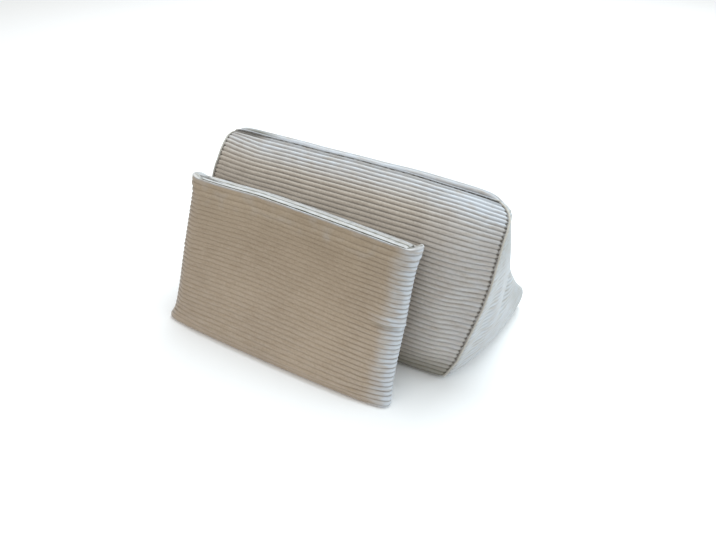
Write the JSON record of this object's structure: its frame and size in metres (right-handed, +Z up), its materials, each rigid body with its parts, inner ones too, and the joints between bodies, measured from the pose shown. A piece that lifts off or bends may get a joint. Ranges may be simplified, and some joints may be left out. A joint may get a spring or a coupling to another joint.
{
  "type": "wedge back cushion with front pad",
  "caption": "Filled wedge cushion in wide ribbed cord with a seamed crowned front, and a slim ribbed pad leaning on its front face",
  "frame": {"origin": "on the floor under the middle of the whole set: middle of the width and of the depth, height 0", "axes": "+X along the cushion's length to the right of someone facing its front, +Y to the back, +Z up; the ribbed front faces -Y"},
  "size_m": [0.6514, 0.4267, 0.3234],
  "materials": {
    "wedge_cord": "matt wide-ribbed cotton cord, pale greige pile",
    "edge_cloth": "matt turned seam edge of the same cord, a little browner",
    "pad_cord": "matt wide-ribbed cotton cord, pale greige pile",
    "strip_cord": "matt wide-ribbed cotton cord, pale greige pile"
  },
  "bodies": {
    "root": {"wedge_body": "wedge_cord", "wedge_face_edge": "edge_cloth", "pad_body": "pad_cord", "pad_top_strip": "strip_cord"}
  },
  "joints": []
}
